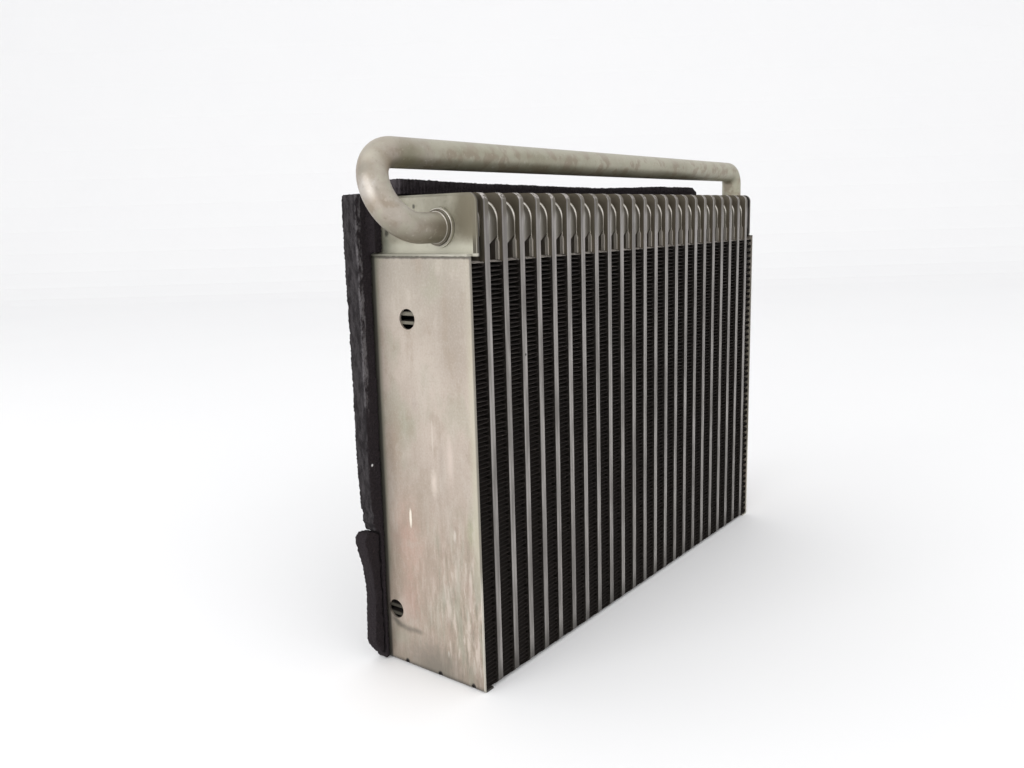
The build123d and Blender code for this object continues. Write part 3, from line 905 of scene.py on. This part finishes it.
def side_scuffs(paint, colour, depth, height, scored, strokes):
    """Scores and strokes low on the side plate, its scuffs and scratches, a painted highlight on the lower
    hole's rim, and painted shadows in the creases by the hole.
    """
    worked = paint.both(
        paint.fade(height, *SCORED_HEIGHTS),
        paint.ramp(depth, FRONT, FRONT + SCORED_DEPTH, 1.0, 0.25),
    )
    for noise_field, low, high, strength, shade in (
        (scored, 0.50, 0.62, 0.85, (0.510, 0.460, 0.405)),
        (scored, 0.48, 0.38, 0.70, (0.200, 0.178, 0.138)),
        (strokes, 0.52, 0.62, 0.55, (0.290, 0.300, 0.240)),
        (strokes, 0.46, 0.38, 0.40, (0.330, 0.255, 0.215)),
    ):
        colour = paint.tint(colour, paint.both(paint.ramp(noise_field, low, high), worked), strength, shade)
    colour = paint.stains(colour, (
        (LOWER_HOLE_RIM_HIGHLIGHT, 0.2, 0.4, 0.40, (0.48, 0.40, 0.35)),
        (PALE_MIDDLE, 0.0, 0.6, 0.65, (0.60, 0.54, 0.48)),
        (PALE_THIN, 0.2, 0.5, 0.45, (0.56, 0.52, 0.46)),
        (PALE_DASH, 0.1, 0.5, 0.60, (0.58, 0.55, 0.50)),
        (PALE_FRONT, 0.0, 0.5, 0.50, (0.56, 0.49, 0.44)),
        (WHITE_FLECK, 0.2, 0.6, 0.7, (0.62, 0.60, 0.54)),
        (BRIGHT_SCRATCH, 0.5, 0.5, 0.85, (0.78, 0.75, 0.66)),
        (PALE_UNDER_CREASE, 0.0, 0.5, 0.6, (0.370, 0.350, 0.285)),
    ))
    # Painted shadows in the creases.
    return paint.stains(colour, [(place, 0.0, 0.2, 0.60, (0.085, 0.078, 0.064)) for place in CREASE_SHADOWS])


def side_foot(paint, colour, height, drift):
    """Grey and dark at the side plate's foot, with a painted shadow line along its bottom edge and painted
    shade, near black, in its drain notches.
    """
    foot = paint.math("ADD", height, paint.both(drift, 0.012))
    colour = paint.tint(colour, paint.fade(foot, *FOOT_HEIGHTS), 0.45, (0.175, 0.160, 0.128))
    colour = paint.tint(colour, paint.mark(GREY_FOOT, 0.1, 0.5), 0.70, (0.165, 0.155, 0.132))
    # Painted shadow along the bottom edge.
    colour = paint.tint(colour, paint.fade(height, *FOOT_SHADOW_LINE), 0.70, (0.060, 0.055, 0.045))
    # Painted shade in the drain notches.
    for notch in NOTCH_DEPTHS:
        shade = paint.mark((notch, *NOTCH_SHADE), 0.5, 0.3)
        colour = paint.mix(shade, colour, (0.018, 0.016, 0.014))
    return colour


def side_by_tape(paint, colour, depth, height):
    """Moss and shade along the tape's front edge, which slants."""
    tape_at = paint.math("ADD", paint.both(height, FOAM_FRONT_SLANT), FRONT + FOAM_FRONT_AT_FOOT)
    near_tape = paint.math("SUBTRACT", tape_at, depth)
    moss = paint.both(paint.fade(near_tape, *MOSS_BY_TAPE), paint.ramp(height, *MOSS_BY_TAPE_FROM))
    colour = paint.tint(colour, moss, 0.55, (0.165, 0.178, 0.130))
    return paint.tint(colour, paint.fade(near_tape, *SHADE_BY_TAPE), 0.85, (0.045, 0.045, 0.038))


def side_paint():
    """Stained and scuffed sheet, with light on its front edge and a bright rim, a painted shadow under the
    tank plate's lip, and painted shade on the parts that lie in from its outer face.
    """
    paint = Paint("side_plate_finish", roughness=0.42, metallic=0.45)
    depth = paint.axis(paint.place, "Y")
    height = paint.axis(paint.place, "Z")
    drift = paint.noise(46, 4.0, stretch=(1, 1, 0.6), shift=(3, 5, 7))
    brushed = paint.noise(650, 4.0, stretch=(1, 1, 0.07))
    scored = paint.noise(420, 6.0, stretch=(1, 1, 0.18), lean=0.22, roughness=0.62)
    strokes = paint.noise(300, 5.0, stretch=(1, 1, 0.16), lean=-0.12, shift=(5, 1, 2))

    colour = side_ground(paint, height, drift)
    colour = paint.tint(colour, paint.ramp(brushed, 0.52, 0.75), 0.14, (0.50, 0.47, 0.42))
    colour = side_scuffs(paint, colour, depth, height, scored, strokes)
    edge_light = paint.both(
        paint.fade(depth, *EDGE_LIGHT_DEPTHS),
        paint.ramp(height, *EDGE_LIGHT_FROM),
        paint.ramp(height, *EDGE_LIGHT_TO, 1.0, 0.2),
    )
    colour = paint.tint(colour, edge_light, 0.60, (0.430, 0.425, 0.335))
    colour = side_foot(paint, colour, height, drift)
    # Painted shadow under the tank plate's lip, along the side plate's top.
    wave = paint.math("ADD", height, paint.both(strokes, 0.0010))
    lip_shadow = paint.ramp(wave, SIDE_TOP - 0.0006, SIDE_TOP + 0.0002)
    colour = paint.mix(paint.both(lip_shadow, 0.8), colour, (0.050, 0.046, 0.038))
    colour = side_by_tape(paint, colour, depth, height)
    colour = paint.mix(1.0, colour, (1.0, 0.965, 0.955), "MULTIPLY")

    # Painted shade, near-black, on the parts that lie in from the plate's outer face.
    behind = paint.band(paint.axis(paint.place, "X"), SIDE_BEHIND, 0.0, 0.0003)
    colour = paint.mix(behind, colour, (0.045, 0.040, 0.034))
    rim = paint.both(paint.fade(depth, *RIM_DEPTHS), paint.math("SUBTRACT", 1.0, behind), 0.65)
    rim_colour = paint.mix(paint.ramp(height, *RIM_HEIGHTS), (0.58, 0.56, 0.49), (0.15, 0.138, 0.120))
    paint.colour(paint.mix(rim, colour, rim_colour))
    paint.rough(paint.ramp(brushed, 0.3, 0.7, 0.36, 0.50))
    paint.bump(scored, 0.14, 0.0002)
    return paint


def tank_face(paint, across, height, blotch, fine):
    """The tank plate's mottled face, with the shade between the rings on its boss, its dark marks, and
    painted shade in a gap by the pipe at its rear corner.
    """
    colour = paint.mix(paint.ramp(blotch, 0.3, 0.7), (0.275, 0.258, 0.200), (0.385, 0.368, 0.300))
    colour = paint.mix(paint.ramp(fine, 0.55, 0.75, 0.0, 0.35), colour, (0.20, 0.19, 0.15))
    colour = paint.mix(paint.fade(height, *TANK_PALE_HEIGHTS, 0.6), colour, (0.420, 0.408, 0.335))
    colour = paint.tint(colour, paint.mark(TANK_FRONT_STAIN, 0.3, 0.4), 0.9, (0.150, 0.133, 0.092))
    boss = (LEFT_PORT_DEPTH, PORT_HEIGHT, BOSS_LINE_RADIUS, BOSS_LINE_RADIUS)
    between = paint.both(paint.mark(boss, 0.96), paint.fade(across, *BOSS_PROUD), 0.7)
    colour = paint.mix(between, colour, (0.085, 0.078, 0.055))
    colour = paint.tint(colour, paint.mark(TANK_SHADE, 0.1, 0.5), 0.55, (0.150, 0.160, 0.125))
    # Painted shade in that gap, and a dark blob.
    notch_shade_and_blob = paint.math("MAXIMUM", paint.mark(TANK_NOTCH_SHADE, 0.3, 0.7), paint.mark(TANK_BLOB, 0.3, 0.8))
    return paint.tint(colour, notch_shade_and_blob, 0.85, (0.045, 0.042, 0.032))


def tank_edge(paint, colour, across, height):
    """The tank plate's front edge: painted dark as shade, with a pale line near the face and a duller one
    behind it.
    """
    facing = paint.facing("X")
    away = paint.math("SUBTRACT", across, TANK_FACE_LEFT)
    on_edge = paint.both(paint.fade(paint.facing("Z"), 0.30, 0.60), paint.ramp(away, *EDGE_FROM))
    sideways = paint.both(on_edge, paint.fade(facing, 0.70, 0.90))
    # Painted shade on the front edge, darkest where it faces the front.
    colour = paint.mix(sideways, colour, (0.085, 0.076, 0.055))
    colour = paint.mix(paint.both(on_edge, paint.fade(facing, 0.10, 0.30)), colour, (0.065, 0.057, 0.042))
    pale_line = paint.both(paint.band(away, *PALE_LINE, 0.00008), sideways)
    line_colour = paint.mix(paint.ramp(height, *PALE_LINE_HEIGHTS), (0.30, 0.28, 0.24), (0.62, 0.59, 0.52))
    colour = paint.mix(pale_line, colour, line_colour)
    far_line = paint.both(paint.band(away, *FAR_LINE, 0.0001), sideways)
    return paint.tint(colour, far_line, 0.7, (0.27, 0.25, 0.22))


def tank_lip(paint, colour, depth, height, blotch, fine):
    """The lip at the tank plate's foot, with a painted highlight that grows towards the front, and a ragged
    painted shadow line under it.
    """
    lip = paint.band(height, *LIP_HEIGHTS, 0.0002)
    colour = paint.mix(lip, colour, (0.250, 0.240, 0.196))
    # Painted highlight on the lip, stronger towards the front.
    light = paint.both(
        lip,
        paint.ramp(depth, *LIP_LIGHT_DEPTHS, 0.80, 0.05),
        paint.ramp(blotch, 0.35, 0.6, 0.4, 1.0),
    )
    colour = paint.mix(light, colour, (0.52, 0.50, 0.43))
    # Painted shadow under the lip.
    wave = paint.math("ADD", height, paint.both(fine, 0.0009))
    return paint.tint(colour, paint.fade(wave, *UNDER_LIP_HEIGHTS), 0.8, (0.060, 0.055, 0.042))


def tank_paint():
    """Olive, mottled plate, darker to the front as painted shade, with a front edge painted dark as shade
    and lined pale, a lip with a painted highlight, and painted shade on its inner faces.
    """
    paint = Paint("tank_plate_finish", roughness=0.42, metallic=0.5)
    across = paint.axis(paint.place, "X")
    depth = paint.axis(paint.place, "Y")
    height = paint.axis(paint.place, "Z")
    blotch = paint.noise(90, 5.0)
    fine = paint.noise(420, 3.0)
    colour = tank_face(paint, across, height, blotch, fine)
    colour = tank_edge(paint, colour, across, height)
    right_shade = paint.both(
        paint.fade(depth, *RIGHT_SHADE_DEPTHS, 0.90),
        paint.ramp(height, *RIGHT_SHADE_HEIGHTS),
    )
    colour = paint.mix(right_shade, colour, (0.155, 0.138, 0.098))
    colour = tank_lip(paint, colour, depth, height, blotch, fine)

    # Painted shade on the tank plates' inner faces.
    middle = (TANK_FACE_LEFT + TANK_FACE_RIGHT) / 2
    inward = paint.math("ABSOLUTE", paint.math("SUBTRACT", across, middle))
    reach = TANK_FACE_RIGHT - middle
    inside = paint.fade(inward, reach - TANK_INSIDE[0], reach - TANK_INSIDE[1], 0.92)
    paint.colour(paint.mix(inside, colour, (0.030, 0.027, 0.026)))
    paint.rough(paint.ramp(blotch, 0.3, 0.7, 0.36, 0.52))
    paint.bump(fine, 0.25, 0.00015)
    return paint


def stain_place(place):
    """The centre and reach of a place on the pipe (its stains, painted highlights and darker band), in the
    row's frame.
    """
    x, y, z, reach = place
    return (FIRST_TUBE_X + x, FRONT + y, z), reach


def pipe_paint():
    """Dull drawn pipe, mottled rosy and brown at the left bend, olive along the run, with painted
    highlights on the bend, painted light on its top, painted shade underneath, and a painted shadow in the
    braze ring's groove by the boss.
    """
    paint = Paint("pipe_finish", roughness=0.36, metallic=0.45)
    across = paint.axis(paint.place, "X")
    blotch = paint.noise(70, 5.0, stretch=(0.5, 1, 1))
    fine = paint.noise(560, 3.0)
    stain = paint.noise(140, 5.0, shift=(4, 4, 4))
    olive = paint.mix(paint.ramp(blotch, 0.3, 0.7), (0.270, 0.254, 0.185), (0.385, 0.366, 0.290))
    rosy = paint.mix(paint.ramp(blotch, 0.3, 0.7), (0.245, 0.208, 0.168), (0.360, 0.322, 0.276))
    left_end = paint.fade(across, FIN_LEFT - 0.010, FIN_LEFT + 0.030)
    colour = paint.mix(left_end, olive, rosy)
    colour = paint.tint(colour, paint.ramp(stain, 0.49, 0.60), 0.65, (0.235, 0.188, 0.138))
    colour = paint.tint(colour, paint.fade(stain, 0.36, 0.47), 0.45, (0.345, 0.338, 0.262))
    # The pale places on the left bend are painted highlights.
    for place, strength, shade in (
        (PIPE_ROSY, 0.5, (0.310, 0.250, 0.200)),
        (PIPE_OLIVE, 0.8, (0.170, 0.158, 0.098)),
        (PIPE_BROWN, 0.8, (0.215, 0.165, 0.108)),
        (PIPE_HIGHLIGHT, 0.55, (0.560, 0.545, 0.530)),
        (PIPE_DARK_BAND, 0.9, (0.205, 0.182, 0.150)),
        (PIPE_HIGHLIGHT_ABOVE, 0.6, (0.480, 0.440, 0.365)),
        (PIPE_LOWER, 0.65, (0.200, 0.176, 0.130)),
        (PIPE_DARK_AT_BOSS, 0.7, (0.150, 0.130, 0.092)),
    ):
        centre, reach = stain_place(place)
        colour = paint.tint(colour, paint.blot(centre, reach, 0.1, 0.5, 220), strength, shade)
    # Painted shadow in the groove of the braze ring by the boss.
    out = paint.math("SUBTRACT", TANK_FACE_LEFT, across)
    below_run = paint.fade(paint.axis(paint.place, "Z"), PORT_HEIGHT + 0.010, PORT_HEIGHT + 0.011)
    ring = paint.both(paint.band(out, BRAZE_REACH[0], BRAZE_REACH[1], 0.0001), below_run)
    colour = paint.mix(paint.both(ring, 0.85), colour, (0.115, 0.102, 0.074))
    # Painted light on the top of the pipe, and painted shade on its underside.
    upper = paint.ramp(paint.axis(paint.normal, "Z"), 0.1, 0.8, 0.0, 0.35)
    colour = paint.mix(upper, colour, (0.520, 0.490, 0.410))
    under = paint.ramp(paint.axis(paint.normal, "Z"), -0.9, -0.1, 0.55, 0.0)
    colour = paint.mix(under, colour, (0.130, 0.118, 0.075))
    colour = paint.tint(colour, paint.ramp(fine, 0.58, 0.75), 0.30, (0.50, 0.47, 0.42))
    colour = paint.tint(colour, paint.fade(fine, 0.28, 0.42), 0.30, (0.200, 0.180, 0.140))
    paint.colour(colour)
    paint.rough(paint.ramp(blotch, 0.3, 0.7, 0.38, 0.50))
    paint.bump(fine, 0.15, 0.0001)
    return paint


def block_paint():
    """Machined block with fine tool lines."""
    paint = Paint("block_finish", roughness=0.38, metallic=0.6)
    cut = paint.noise(700, 2.0, stretch=(1, 0.05, 1))
    blotch = paint.noise(80, 4.0)
    paint.colour(paint.mix(blotch, (0.27, 0.255, 0.225), (0.38, 0.362, 0.320)))
    paint.bump(cut, 0.2, 0.0001)
    return paint


def foam_paint(name, worn_and_lit=False, ribbed=False):
    """Near-black open-cell tape; the side tape is paler and fibrous outside, partly its own fibres and
    partly painted light, with a painted highlight along its front corner.
    """
    paint = Paint(name, roughness=0.95)
    paint.matt(0.12)
    across = paint.axis(paint.place, "X")
    height = paint.axis(paint.place, "Z")
    cells = paint.noise(1500, 3.0)
    fibre = paint.noise(520, 4.0, stretch=(1, 1, 0.3))
    colour = paint.mix(cells, (0.010, 0.0080, 0.0092), (0.030, 0.0245, 0.027))
    if worn_and_lit:
        # Partly painted light: the outer face is painted paler than the front face, which lies in shade;
        # its fibres are the tape's own.
        outward = paint.fade(paint.axis(paint.normal, "X"), -0.9, -0.3)
        outside = paint.fade(across, FOAM_OUTER + 0.0016, FOAM_OUTER + 0.0030)
        pale = paint.mix(paint.ramp(fibre, 0.35, 0.7), (0.015, 0.0130, 0.014), (0.043, 0.039, 0.041))
        colour = paint.mix(paint.both(outward, outside), colour, pale)
        # Painted highlight along the tape's front corner.
        line = paint.math("ADD", paint.both(height, FOAM_FRONT_SLANT), FRONT + FOAM_FRONT_AT_FOOT)
        corner = paint.math("SUBTRACT", paint.axis(paint.place, "Y"), line)
        corner = paint.both(
            paint.fade(corner, 0.0004, 0.0016),
            paint.fade(across, FOAM_OUTER + 0.0008, FOAM_OUTER + 0.0018),
            paint.ramp(height, 0.105, 0.135),
            paint.ramp(fibre, 0.42, 0.62),
        )
        colour = paint.mix(corner, colour, (0.105, 0.098, 0.102))
        for x, z, reach in FOAM_FLECKS:
            fleck = paint.blot((FOAM_SEAT + x, foam_front(z), z), reach, 0.3, 0.5, 900)
            colour = paint.mix(fleck, colour, (0.75, 0.75, 0.76))
    if ribbed:
        wave = paint.math("SINE", paint.math("MULTIPLY", across, math.tau / FOAM_RIB_PITCH))
        share = paint.fade(across, FIN_LEFT, FIN_LEFT + FOAM_RIBBED_LENGTH)
        rib = paint.both(paint.ramp(wave, 0.1, 0.9), share, paint.ramp(fibre, 0.35, 0.65))
        colour = paint.tint(colour, rib, 0.7, (0.060, 0.052, 0.058))
        upper = paint.ramp(height, TOP + 0.0028, TOP + 0.0056)
        upper = paint.both(upper, paint.ramp(fibre, 0.3, 0.6))
        colour = paint.tint(colour, upper, 0.7, (0.055, 0.048, 0.052))
    paint.colour(colour)
    paint.bump(cells, 0.8, 0.0006)
    return paint


def dress_nodes():
    finishes = {
        "tube_plate": tube_paint(),
        "side_plate": side_paint(),
        "tank_plate": tank_paint(),
        "pipe": pipe_paint(),
        "block": block_paint(),
        "fin": fin_paint(),
        "foam": foam_paint("foam_finish"),
    }
    for part in frame["record"]["subparts"]:
        dress(part["node"], finishes[part["material_slot"]])
    return finishes


make_camera()
make_stage()
make_light()
finishes = dress_nodes()
for fin_name in FINS:
    make_fin(fin_name, finishes["fin"])
seam_finish = seam_paint()
for tube_index in range(len(TUBES)):
    make_seam(tube_index, seam_finish)
make_port_ring("port_ring_left", LEFT_PORT_DEPTH, -1, seam_finish)
make_port_ring("port_ring_right", RIGHT_PORT_DEPTH, 1, seam_finish)
for tube_index in range(1, len(TUBES)):
    make_tube(tube_index, finishes["tube_plate"])
tape = tape_prism("foam_side_left_foam", TAPE_OUTLINE)
add_press_block(tape)
make_foam("foam_side_left", foam_paint("foam_worn_and_lit_finish", worn_and_lit=True), 1.0, tape, 1)
layer = tape_prism("foam_side_left_torn_foam", LAYER_OUTLINE, 0.0004)
make_foam("foam_side_left_torn", foam_paint("foam_layer_finish"), 2.0, layer, 5, 0.8)
make_foam("foam_side_right", finishes["foam"], 3.0)
make_foam("foam_top", foam_paint("foam_top_finish", ribbed=True), 4.0, broad_share=0.5)
